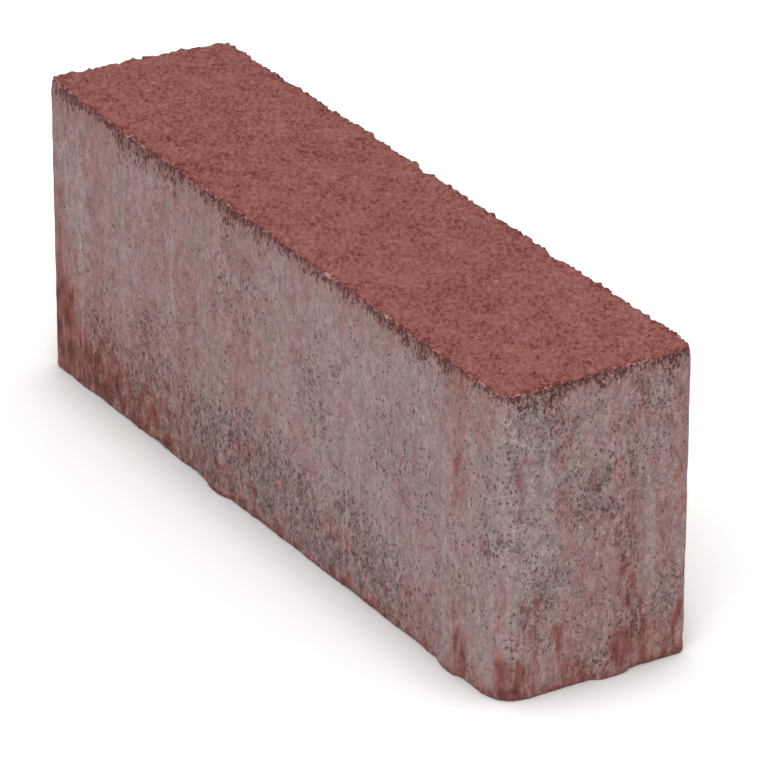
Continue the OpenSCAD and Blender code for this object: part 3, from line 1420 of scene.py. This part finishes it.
@dataclass(frozen=True)
class DrawnSide(Finish):
    """The sides: red concrete under a film of grey paste that the mould has drawn upright.

    Attributes:
        name: The material's name.
        rosy: Colour of the thin film.
        grey: Colour of the thick film.
        sandy: Colour of its sandy clouds.
        worn: Colour of the bare aggregate.
        mauve: Colour of a stain's edge.
        red: Colour of a stain.
        rust: Colour of the deepest stains.
        crumb: Colour of the crumbly band.
        hole_shade: Colour of the voids and seams, painted shade in their hollows.
        cleft_shade: Colour of the band's clefts, painted shade in them.
        spark: Colour of the pale grains.
        fin: Colour of the fins: pale paste with a painted glint.
        worn_cover: Most that the bare aggregate covers.
        crumb_cover: Most that the crumbly band covers.
        hole_shade_cover: Most that the painted shade of a void covers.
        cleft_shade_cover: Most that the painted shade of the clefts covers.
        pinhole: Size of the small voids.
        blowhole: Size of the large voids.
        fewer_blowholes: How much the Share of the large voids is less than the small ones'.
    """

    name: str = "drawn_side"
    rosy: tuple[float, ...] = tone(149, 112, 109)
    grey: tuple[float, ...] = tone(158, 137, 135)
    sandy: tuple[float, ...] = tone(150, 129, 122)
    worn: tuple[float, ...] = tone(128, 113, 109)
    mauve: tuple[float, ...] = tone(143, 98, 96)
    red: tuple[float, ...] = tone(136, 76, 69)
    rust: tuple[float, ...] = tone(90, 45, 41)
    crumb: tuple[float, ...] = tone(106, 53, 47)
    hole_shade: tuple[float, ...] = tone(66, 45, 43)
    cleft_shade: tuple[float, ...] = tone(80, 29, 25)
    spark: tuple[float, ...] = tone(184, 166, 160)
    fin: tuple[float, ...] = tone(204, 162, 153)
    worn_cover: float = 0.44
    crumb_cover: float = 0.44
    hole_shade_cover: float = 0.7
    cleft_shade_cover: float = 0.74
    pinhole: float = 0.9
    blowhole: float = 1.3
    fewer_blowholes: float = 0.47

    def ground(self, board: Board, effects: Effects) -> tuple[SideGround, Feed]:
        """Lays out the patterns and reads the masks.

        Args:
            board: The finish's nodes.
            effects: The node groups.

        Returns:
            The ground, and the height of its grain.
        """
        place = board.millimetres()
        drawn, high, higher = (
            board.vector("MULTIPLY", place, (1.0, 1.0, rise)) for rise in (0.65, 0.16, 0.07)
        )
        grain = board.effect(effects.grain, Place=drawn, Size=1.0).outputs
        worn = board.attribute("coarse")
        ground = SideGround(
            place=place,
            drawn=drawn,
            fine=grain["Fine"],
            coarse=grain["Coarse"],
            broad=board.noise(higher, 5.0, 3.0),
            thin=board.noise(high, 1.1, 3.0, 0.6),
            patchy=board.noise(drawn, 3.0),
            rust=board.attribute("rust"),
            worn=worn,
            crumbs=board.attribute("crumbs"),
            mottled=board.ease(worn, 0.2, 0.8, 0.8, 1.9),
        )
        return ground, grain["Height"]

    def film(self, board: Board, ground: SideGround, patches: Feed) -> Feed:
        """Colour of the paste film: rosy to grey, with sandy clouds and pale grains.

        Args:
            board: The finish's nodes.
            ground: Its patterns and masks.
            patches: The patches as strong as they show.

        Returns:
            The colour.
        """
        thickness = board.total(
            (board.attribute("paste"), 1.0),
            (ground.broad, 0.08),
            (ground.thin, 0.03),
            (patches, 0.2),
        )
        colour = board.blend(board.ease(thickness, 0.15, 0.85), self.rosy, self.grey)
        tall = board.vector("MULTIPLY", ground.place, (1.0, 1.0, 0.45))
        sandy = board.ease(board.noise(tall, 7.5), 0.1, 1.5, 0.0, 0.6)
        colour = board.blend(sandy, colour, self.sandy)
        sparks = board.ease(board.noise(ground.drawn, 0.7, 1.0), 0.8, 1.7, 0.0, 0.25)
        return board.blend(sparks, colour, self.spark)

    def stained(self, board: Board, ground: SideGround, patches: Feed, colour: Feed) -> Feed:
        """Lays the stains over a colour: mauve at their edges, red inside, rust in the deepest.

        Args:
            board: The finish's nodes.
            ground: Its patterns and masks.
            patches: The patches as strong as they show.
            colour: The colour under the stains.

        Returns:
            The stained colour.
        """
        rust = ground.rust
        stain = board.total(
            (rust, 1.0),
            (ground.broad, 0.1),
            (ground.thin, 0.04),
            (board.math("MULTIPLY", ground.thin, rust), 0.2),
            (board.math("MULTIPLY", ground.fine, rust), 0.12),
            (patches, 0.17),
        )
        deep = board.total((rust, 1.0), (ground.patchy, 0.14), (ground.coarse, 0.1))
        over = board.blend(board.ease(stain, 0.35, 0.85), self.mauve, self.red)
        over = board.blend(board.ease(deep, 0.8, 1.25), over, self.rust)
        return board.blend(board.ease(stain, 0.2, 1.1, 0.0, 0.95), colour, over)

    def openings(
        self, board: Board, effects: Effects, ground: SideGround, crumbly: Feed, gaps: Feed
    ) -> Feed:
        """Mask of the voids, of the gaps between bare grains and of the fine seams.

        Args:
            board: The finish's nodes.
            effects: The node groups.
            ground: Its patterns and masks.
            crumbly: Mask of the crumbly band, broken up.
            gaps: Mask of the gaps.

        Returns:
            The mask.
        """
        share = board.total(
            (board.ease(ground.worn, 0.0, 0.25), 0.27),
            (board.ease(ground.worn, 0.2, 0.7), 0.36),
            (crumbly, 0.3),
            (ground.rust, -0.3),
            start=0.57,
        )
        pitted = board.vector("MULTIPLY", ground.place, (1.0, 1.0, 0.85))
        fewer = board.math("SUBTRACT", share, self.fewer_blowholes)
        small, large = (
            board.effect(effects.voids, Place=pitted, Size=size, Share=much).outputs[0]
            for size, much in ((self.pinhole, share), (self.blowhole, fewer))
        )
        seam = board.math("ABSOLUTE", board.noise(ground.drawn, 1.5, 2.0, 0.6))
        shown = board.total((ground.mottled, 0.34), (ground.rust, -0.15))
        seams = board.math("MULTIPLY", board.ease(seam, 0.0, 0.2, 1.0, 0.0), shown)
        voids = board.math("MAXIMUM", small, large)
        return board.math("MAXIMUM", voids, board.math("MAXIMUM", gaps, seams))

    def material(self, effects: Effects) -> bpy.types.Material:
        """Builds the material: film, bare aggregate, stains, crumbly band, voids and fins, with
        painted shade in the voids and clefts and a painted glint on the fins.

        Args:
            effects: The node groups.

        Returns:
            The material.
        """
        material, board = self.start()
        ground, grain_height = self.ground(board, effects)
        patches = board.math("MULTIPLY", ground.patchy, ground.mottled)
        colour = self.film(board, ground, patches)

        bare = board.total(
            (ground.worn, 1.0),
            (ground.patchy, 0.16),
            (ground.coarse, 0.12),
            (ground.rust, -0.3),
        )
        bare = board.ease(bare, 0.25, 1.0)
        colour = board.cover(colour, self.worn, bare, self.worn_cover)
        colour = self.stained(board, ground, patches, colour)
        crumbly = board.ease(board.total((ground.crumbs, 1.0), (ground.patchy, 0.08)), 0.3, 0.8)
        colour = board.cover(colour, self.crumb, crumbly, self.crumb_cover)

        packed = board.effect(effects.packed, Place=ground.drawn, Size=1.0).outputs
        light = board.total(
            (ground.fine, 0.06),
            (board.math("MULTIPLY", ground.coarse, ground.mottled), 0.15),
            (ground.broad, 0.02),
            (board.math("MULTIPLY", packed["Tone"], bare), 0.16),
            start=1.04,
        )
        colour = board.shade(colour, light)
        broken = board.ease(board.total((bare, 1.0), (ground.coarse, 0.3)), 0.5, 1.4, 0.0, 0.3)
        gaps = board.math("MULTIPLY", packed["Gaps"], broken)
        holes = self.openings(board, effects, ground, crumbly, gaps)
        # Painted shade: the voids, the gaps between bare grains and the seams are darkened in the
        # colour
        colour = board.cover(colour, self.hole_shade, holes, self.hole_shade_cover)

        upright = board.vector("MULTIPLY", ground.place, (1.0, 1.0, 0.6))
        comb = board.noise(upright, 0.75)
        clefts = board.effect(effects.clefts, Crumbs=ground.crumbs, Comb=comb).outputs[0]
        # Painted shade: the clefts of the crumbly band are darkened in the colour
        colour = board.cover(colour, self.cleft_shade, clefts, self.cleft_shade_cover)
        fins = board.effect(
            effects.fins, Mask=board.attribute("fins"), Fine=ground.fine, Coarse=ground.coarse
        )
        # Partly painted highlight: the fins are pale paste with a painted glint along the arris
        colour = board.blend(fins.outputs[0], colour, self.fin)
        height = board.total(
            (grain_height, 0.5), (ground.thin, 0.015), (holes, -0.2), (clefts, -0.25)
        )
        self.close(board, colour, board.ease(ground.fine, -1.0, 1.0, 0.92, 0.78), height)
        return material


@dataclass(frozen=True)
class RawBed(Finish):
    """The bed face, as the pallet left it: open, coarse and unstained in the middle.

    Attributes:
        name: The material's name.
        body: Colour of the concrete.
        shade: Colour of its darker clouds.
        light: Colour of its coarse grains.
        hole_shade: Colour of the voids, painted shade in their hollows.
        hole_shade_cover: Most that the painted shade of a void covers.
    """

    name: str = "raw_bed"
    body: tuple[float, ...] = tone(134, 100, 95)
    shade: tuple[float, ...] = tone(100, 70, 66)
    light: tuple[float, ...] = tone(160, 136, 130)
    hole_shade: tuple[float, ...] = tone(62, 46, 44)
    hole_shade_cover: float = 0.85

    def material(self, effects: Effects) -> bpy.types.Material:
        """Builds the material: body, clouds, coarse grain and large voids in painted shade.

        Args:
            effects: The node groups.

        Returns:
            The material.
        """
        material, board = self.start()
        place = board.millimetres()
        grain = board.effect(effects.grain, Place=place, Size=1.5).outputs
        clouds = board.ease(board.noise(place, 11.0, 3.0), -0.6, 1.0)
        colour = board.blend(clouds, self.body, self.shade)
        coarse = board.ease(grain["Coarse"], 0.0, 1.4, 0.0, 0.6)
        colour = board.blend(coarse, colour, self.light)
        holes = board.effect(effects.voids, Place=place, Size=2.4, Share=0.75).outputs[0]
        # Painted shade: the voids are darkened in the colour
        colour = board.cover(colour, self.hole_shade, holes, self.hole_shade_cover)
        height = board.total((grain["Height"], 1.2), (holes, -0.6))
        self.close(board, colour, board.ease(grain["Fine"], -1.0, 1.0, 0.95, 0.85), height)
        return material


# ---------------------------------------------------------------------------------- the brick


@dataclass
class FacingBrick:
    """The brick: its block, nibs, wear and finishes.

    Attributes:
        node: Name of the CAD node that the skin stands for.
        side_nib_proud: Height of the nibs of the long sides.
        end_nib_proud: Height of the nibs of the ends.
        side_nib_inset: From an end face to the middle of the nearer side nib.
        side_nib_pitch: Between the middles of the two nibs of a long side.
        end_nib_offset: From the middle of an end face to its nib.
        top_chips: Chips of the back top arris: place from the left end, and length.
        edge_chip: Chip low on the back right upright edge: height, and length.
        edge_head_chip: Length of the chip at the head of that edge.
        end_chip: Shallow chip of the right top arris: place from the front, length and depth.
        hidden_seed: Seed of the stains of the back and the left end.
        hidden_stain_count: How many of those stains there are.
    """

    node: str = "brick"
    side_nib_proud: float = 1.3
    end_nib_proud: float = 1.5
    side_nib_inset: float = 20.0
    side_nib_pitch: float = 100.0
    end_nib_offset: float = 4.5
    top_chips: tuple[tuple[float, float], ...] = ((91.0, 7.0), (145.0, 8.5))
    edge_chip: tuple[float, float] = (20.0, 3.0)
    edge_head_chip: float = 6.0
    end_chip: tuple[float, float, float] = (8.5, 13.0, 1.0)
    hidden_seed: int = 23
    hidden_stain_count: int = 16

    def block(self) -> Block:
        """The plain block, sized by the CAD node's box without its nibs.

        Returns:
            The block.
        """
        low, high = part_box(self.node)
        size = (high - low) / MM
        return Block(
            length=size.x - 2 * self.end_nib_proud,
            width=size.y - 2 * self.side_nib_proud,
            height=size.z,
        )

    def nibs(self, block: Block) -> tuple[Nib, ...]:
        """The three nibs of the front and the right end, and the same again half a turn on.

        Args:
            block: The block that they stand on.

        Returns:
            The six nibs.
        """
        front = block.length - self.side_nib_inset
        right = block.length + block.width / 2 + self.end_nib_offset
        half = block.girth / 2
        places = (
            (front, self.side_nib_proud),
            (front - self.side_nib_pitch, self.side_nib_proud),
            (right, self.end_nib_proud),
        )
        return tuple(
            Nib(place=place + turn, proud=proud) for turn in (0.0, half) for place, proud in places
        )

    def flakes(self, block: Block) -> tuple[Flake, ...]:
        """The chips of the back top arris, the back right upright edge and the right top arris.

        Args:
            block: The block that they are broken off.

        Returns:
            The five chips.
        """
        slant = 1.0 / math.sqrt(2.0)
        back, right = block.width / 2, block.length / 2
        setback = block.radius * (1.0 - slant)
        on_top = tuple(
            Flake((at - right, back, block.height), (0.0, slant, slant), length)
            for at, length in self.top_chips
        )
        on_edge = tuple(
            Flake((right - setback, back - setback, at), (slant, slant, 0.0), length)
            for at, length in (self.edge_chip, (block.height, self.edge_head_chip))
        )
        at, length, depth = self.end_chip
        shallow = Flake((right, at - back, block.height), (slant, 0.0, slant), length, depth)
        return (*on_top, *on_edge, shallow)

    def hidden_stains(self, block: Block) -> tuple[Mark, ...]:
        """Stains seeded at random over the back and the left end.

        Args:
            block: The block, for the distance round it.

        Returns:
            The stains.
        """
        draw = np.random.default_rng(self.hidden_seed)
        start, end = block.length + block.width, block.girth
        return tuple(
            Mark(
                place=draw.uniform(start, end),
                half_width=draw.uniform(2.0, 6.0),
                foot=foot,
                head=foot + draw.uniform(6.0, 26.0),
                strength=draw.uniform(0.35, 0.75),
            )
            for foot in draw.uniform(-4.0, 30.0, self.hidden_stain_count)
        )

    def weathering(self, block: Block) -> Weathering:
        """Where the brick is stained, bare, worn and crumbly.

        Each list is given for the front, and then for the right end and on from there. A field
        of crumbs reaches over the whole height.

        Args:
            block: The block that the marks are on.

        Returns:
            The masks' marks.
        """
        right = block.length
        stains = marks(
            0.0,
            # The front left corner and on along the foot
            (3.0, 6.5, -8.0, 52.0, 0.5),
            (3.0, 10.0, -8.0, 26.0, 1.0),
            (14.0, 19.0, -8.0, 13.0, 0.95),
            (28.0, 3.4, -8.0, 14.0, 0.8),
            (46.0, 16.0, -8.0, 1.5, 0.9),
            # Short ones in the middle
            (91.0, 3.2, 13.5, 18.5, 0.75),
            (131.0, 7.5, 9.0, 15.0, 0.5),
            # One below the other by the right nib
            (182.5, 3.5, 57.0, 74.0, 0.5),
            (183.5, 2.4, 38.0, 59.0, 0.6),
            (184.3, 2.2, 0.0, 12.0, 0.85),
            (184.0, 2.4, 8.0, 25.0, 0.4),
            (187.0, 6.0, -6.0, 4.0, 0.5),
        ) + marks(
            right,
            # The worn edge
            (1.2, 4.6, -2.0, 10.5, 0.88),
            (6.5, 3.2, -3.0, 8.0, 0.7),
            (-1.5, 2.0, 14.0, 36.0, 0.4),
            # The right end, up to its nib
            (8.0, 2.6, 12.0, 26.0, 0.55),
            (9.3, 1.1, 7.0, 13.0, 0.9),
            (14.5, 1.6, 7.0, 16.0, 0.8),
            (18.0, 5.0, -4.0, 7.0, 0.7),
            # On the nib and beyond it
            (32.0, 5.0, 16.0, 46.0, 0.5),
            (31.0, 4.6, 4.0, 12.0, 0.9),
            (37.3, 1.5, -2.0, 19.0, 0.8),
            (43.5, 5.0, -2.0, 14.0, 0.65),
            (42.2, 2.4, 20.0, 42.0, 0.5),
            (46.0, 2.6, 40.0, 70.0, 0.45),
        )
        pale_lines = marks(
            0.0,
            (14.8, 1.2, 4.0, 56.0, 0.8),
            (75.0, 0.9, 0.0, 62.0, 0.6),
            (106.0, 1.2, 38.0, 72.0, 0.5),
            (179.0, 1.3, 0.0, 40.0, 0.8),
        ) + marks(
            right,
            (11.0, 2.0, 38.0, 72.0, 0.7),
            (38.3, 1.3, 22.0, 44.0, 0.8),
        )
        grey_fields = marks(
            0.0,
            (150.0, 34.0, 12.0, 66.0, 0.55),
            (12.0, 7.0, 40.0, 66.0, 0.5),
            (191.0, 10.0, 2.0, 60.0, 0.7),
        ) + marks(
            right,
            (5.0, 8.0, 26.0, 80.0, 1.1),
            (26.0, 9.0, 34.0, 74.0, 0.2),
        )
        coarse_patches = marks(
            0.0,
            (46.0, 4.0, 27.0, 32.0, 0.6),
            (61.0, 5.0, 33.0, 40.0, 0.5),
            (88.0, 11.0, 10.0, 26.0, 0.35),
            (95.0, 9.0, 3.0, 14.0, 0.65),
            (119.0, 5.0, 42.0, 50.0, 0.5),
            (143.0, 5.0, 6.0, 15.0, 0.5),
        ) + marks(
            right,
            (-3.0, 3.5, 34.0, 42.0, 0.5),
            (10.0, 4.0, 21.0, 28.0, 0.6),
            (22.0, 7.0, 37.0, 54.0, 0.35),
            (32.5, 3.5, 28.0, 37.0, 0.7),
            (33.0, 6.0, 11.0, 18.0, 0.6),
            (44.0, 4.0, 12.0, 23.0, 0.7),
        )
        crumb_fields = tuple(
            Mark(place, half_width, 0.0, 2.0 * block.height, strength)
            for place, half_width, strength in (
                (20.0, 9.0, 1.6),
                (50.0, 22.0, 1.1),
                (82.0, 7.0, 0.8),
                (165.0, 5.0, 0.8),
                (178.0, 5.0, 1.2),
                (right + 4.5, 2.5, 1.0),
                (right + 12.0, 2.5, 1.0),
                (right + 30.0, 7.0, 1.6),
                (right + 45.0, 5.0, 2.0),
                (right + block.width + 100.0, 90.0, 0.9),
            )
        )
        return Weathering(
            stains=stains + self.hidden_stains(block),
            pale_lines=pale_lines,
            grey_fields=grey_fields,
            coarse_patches=coarse_patches,
            crumb_fields=crumb_fields,
        )

    def mesh(self, skin: Skin, places: Array, masks: dict[str, Array]) -> bpy.types.Mesh:
        """Turns the skin into a mesh.

        Args:
            skin: The skin, for its faces.
            places: Its vertices, in millimetres.
            masks: Numbers for each vertex, by attribute name.

        Returns:
            The mesh, smooth and in metres, with its faces sorted onto three material slots.
        """
        mesh = bpy.data.meshes.new("facing_brick")
        corners = np.concatenate([skin.quads.ravel(), skin.triangles.ravel()])
        sizes = np.concatenate([np.full(len(skin.quads), 4), np.full(len(skin.triangles), 3)])
        starts = np.concatenate([[0], np.cumsum(sizes)[:-1]])
        mesh.vertices.add(len(places))
        mesh.vertices.foreach_set("co", (places * MM).astype(np.float32).ravel())
        mesh.loops.add(len(corners))
        mesh.loops.foreach_set("vertex_index", corners.astype(np.int32))
        mesh.polygons.add(len(sizes))
        mesh.polygons.foreach_set("loop_start", starts.astype(np.int32))
        slots = np.concatenate(
            [self.face_parts(skin, skin.quads), self.face_parts(skin, skin.triangles)]
        )
        mesh.polygons.foreach_set("material_index", slots.astype(np.int32))
        mesh.polygons.foreach_set("use_smooth", np.ones(len(sizes), bool))
        mesh.update(calc_edges=True)
        for name, values in masks.items():
            layer = mesh.attributes.new(name, "FLOAT", "POINT")
            layer.data.foreach_set("value", values.astype(np.float32))
        return mesh

    @staticmethod
    def face_parts(skin: Skin, faces: Array) -> Array:
        """The part of the block that each face lies on: the top or the bed as soon as one of
        its corners is there.

        Args:
            skin: The skin.
            faces: Corners of the faces, shaped (count, corners).

        Returns:
            The part of each face.
        """
        parts = skin.part[faces]
        has_top, has_bed = (parts == Part.TOP).any(1), (parts == Part.BED).any(1)
        return np.where(has_top, Part.TOP, np.where(has_bed, Part.BED, Part.SIDE))

    def build(self, effects: Effects) -> bpy.types.Object:
        """Builds and dresses the brick, hides the CAD node and hangs the brick under the root
        body.

        Args:
            effects: The node groups.

        Returns:
            The brick's object.
        """
        block = self.block()
        skin = SkinGrid().lay_on(block)
        weathering = self.weathering(block)
        relief = Relief(nibs=self.nibs(block), flakes=self.flakes(block))
        crumbs = weathering.crumbs(skin)
        places, broken = relief.shape(skin, crumbs)
        masks = {
            "crumbs": np.maximum(crumbs, 0.8 * broken),
            "rust": weathering.rust(skin),
            "paste": weathering.paste(skin),
            "coarse": weathering.coarse(skin),
            "fins": weathering.fins(skin),
        }
        brick = bpy.data.objects.new("facing_brick", self.mesh(skin, places, masks))
        bpy.context.scene.collection.objects.link(brick)
        for finish in (RedTop(), DrawnSide(), RawBed()):
            brick.data.materials.append(finish.material(effects))
        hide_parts(self.node)
        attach(brick, "root")
        triangles = 2 * len(skin.quads) + len(skin.triangles)
        LOG.info("%s: %d vertices, %d triangles", brick.name, len(places), triangles)
        return brick


# ----------------------------------------------------------------------------------- the stage


@dataclass(frozen=True)
class Studio:
    """Plain pale floor, white surroundings and one soft lamp.

    Attributes:
        sky: Strength of the light from all around.
        lamp_power: Power of the soft lamp, in watts.
        lamp_size: Width of the lamp, in metres.
        lamp_place: Where the lamp stands, in metres.
        floor_size: Width of the floor, in metres.
        floor_colour: Colour of the floor.
        floor_gain: How much lighter the floor shows than it is, so that only its deeper
            shadows are seen.
        painted_shadow_width: Width of the darker rim of the floor round the brick's foot, in
            metres: a painted shadow, taken from the floor's ambient occlusion.
        painted_shadow_share: Share of its lightness that the floor shows where it meets the brick,
            in that painted shadow.
    """

    sky: float = 0.82
    lamp_power: float = 4.2
    lamp_size: float = 0.6
    lamp_place: tuple[float, float, float] = (0.62, -0.5, 1.15)
    floor_size: float = 8.0
    floor_colour: tuple[float, ...] = tone(247, 247, 247)
    floor_gain: float = 0.34
    painted_shadow_width: float = 0.02
    painted_shadow_share: float = 0.5

    def floor(self) -> bpy.types.Object:
        """A flat square floor under the brick.

        To the camera it is lighter by the gain, and darker in a narrow rim round the brick: a
        painted shadow, taken from the floor's ambient occlusion.

        Returns:
            The floor's object.
        """
        half = self.floor_size / 2
        mesh = bpy.data.meshes.new("studio_floor")
        corners = [(-half, -half, 0.0), (half, -half, 0.0), (half, half, 0.0), (-half, half, 0.0)]
        mesh.from_pydata(corners, [], [(0, 1, 2, 3)])
        material = bpy.data.materials.new("studio_floor")
        material.use_nodes = True
        board = Board(material.node_tree)
        seen = board.add("ShaderNodeLightPath").outputs["Is Camera Ray"]
        # Painted shadow: near the brick the floor's colour is darkened by its ambient occlusion
        near = board.add("ShaderNodeAmbientOcclusion", {"Distance": self.painted_shadow_width}, samples=8)
        gain = 1.0 + self.floor_gain
        shown = board.ease(near.outputs["AO"], 0.0, 1.0, self.painted_shadow_share, gain)
        colour = board.shade(self.floor_colour[:3], board.ease(seen, 0.0, 1.0, 1.0, shown))
        shader = board.add("ShaderNodeBsdfDiffuse", {"Color": colour})
        board.add("ShaderNodeOutputMaterial", {"Surface": shader.outputs[0]})
        mesh.materials.append(material)
        floor = bpy.data.objects.new("studio_floor", mesh)
        bpy.context.scene.collection.objects.link(floor)
        return floor

    def world(self) -> bpy.types.World:
        """A white world that lights at the strength of the sky and shows as plain white.

        Returns:
            The world.
        """
        world = bpy.data.worlds.new("studio_world")
        world.use_nodes = True
        board = Board(world.node_tree)
        path = board.add("ShaderNodeLightPath")
        strength = board.ease(path.outputs["Is Camera Ray"], 0.0, 1.0, self.sky, 1.0)
        light = board.add(
            "ShaderNodeBackground", {"Color": (1.0, 1.0, 1.0, 1.0), "Strength": strength}
        )
        board.add("ShaderNodeOutputWorld", {"Surface": light.outputs[0]})
        bpy.context.scene.world = world
        return world

    def lamp(self) -> bpy.types.Object:
        """A soft square lamp that looks at the brick.

        Returns:
            The lamp's object.
        """
        light = bpy.data.lights.new("soft_lamp", "AREA")
        light.shape = "SQUARE"
        light.size = self.lamp_size
        light.energy = self.lamp_power
        lamp = bpy.data.objects.new("soft_lamp", light)
        lamp.location = self.lamp_place
        lamp.rotation_euler = (-Vector(self.lamp_place)).to_track_quat("-Z", "Y").to_euler()
        bpy.context.scene.collection.objects.link(lamp)
        return lamp

    def build(self) -> None:
        """Sets up the floor, the world and the lamp."""
        self.floor()
        self.world()
        self.lamp()
        LOG.info("studio: floor, white world and one soft lamp")


@dataclass(frozen=True)
class ViewPoint:
    """Where the camera stands and how it looks at the brick.

    Attributes:
        azimuth: Degrees round the brick; 0 looks along +Y and 90 along -X.
        elevation: Degrees above level.
        roll: Degrees that the camera is turned about its line of sight.
        distance: Metres from the middle of the brick.
        lens: Focal length, in millimetres.
        film: Width of the film, in millimetres.
        aim: Metres that the brick's middle lies right of and above the middle of the view.
    """

    azimuth: float = 58.43
    elevation: float = 25.97
    roll: float = 0.12
    distance: float = 1.3584
    lens: float = 280.2
    film: float = 36.0
    aim: tuple[float, float] = (-0.0064, 0.00657)

    def camera(self) -> bpy.types.Object:
        """Sets up the scene's camera.

        Its back is (sin a cos e, -cos a cos e, sin e) for azimuth a and elevation e. Its right
        is level before the roll, and its up is back x right.

        Returns:
            The camera.
        """
        azimuth, elevation, roll = (
            math.radians(angle) for angle in (self.azimuth, self.elevation, self.roll)
        )
        back = Vector(
            (
                math.sin(azimuth) * math.cos(elevation),
                -math.cos(azimuth) * math.cos(elevation),
                math.sin(elevation),
            )
        )
        level = Vector((math.cos(azimuth), math.sin(azimuth), 0.0))
        upright = back.cross(level)
        right = level * math.cos(roll) + upright * math.sin(roll)
        up = upright * math.cos(roll) - level * math.sin(roll)
        low, high = CAD_BOX
        middle = (Vector(low) + Vector(high)) / 2
        data = bpy.data.cameras.new("camera")
        data.lens = self.lens
        data.sensor_width = self.film
        data.clip_start = 0.05
        camera = bpy.data.objects.new("camera", data)
        turn = Matrix((right, up, back)).transposed().to_4x4()
        place = middle + back * self.distance - right * self.aim[0] - up * self.aim[1]
        camera.matrix_world = Matrix.Translation(place) @ turn
        bpy.context.scene.collection.objects.link(camera)
        bpy.context.scene.camera = camera
        LOG.info("camera: %.1f degrees round, %.1f up", self.azimuth, self.elevation)
        return camera


def main() -> None:
    """Builds the brick, the studio and the camera, in that order."""
    logging.basicConfig(level=logging.INFO, format="%(name)s: %(message)s")
    bpy.context.scene.view_settings.view_transform = "Standard"
    FacingBrick().build(Effects())
    Studio().build()
    ViewPoint().camera()
    bpy.context.view_layer.update()


if __name__ == "__main__":
    main()
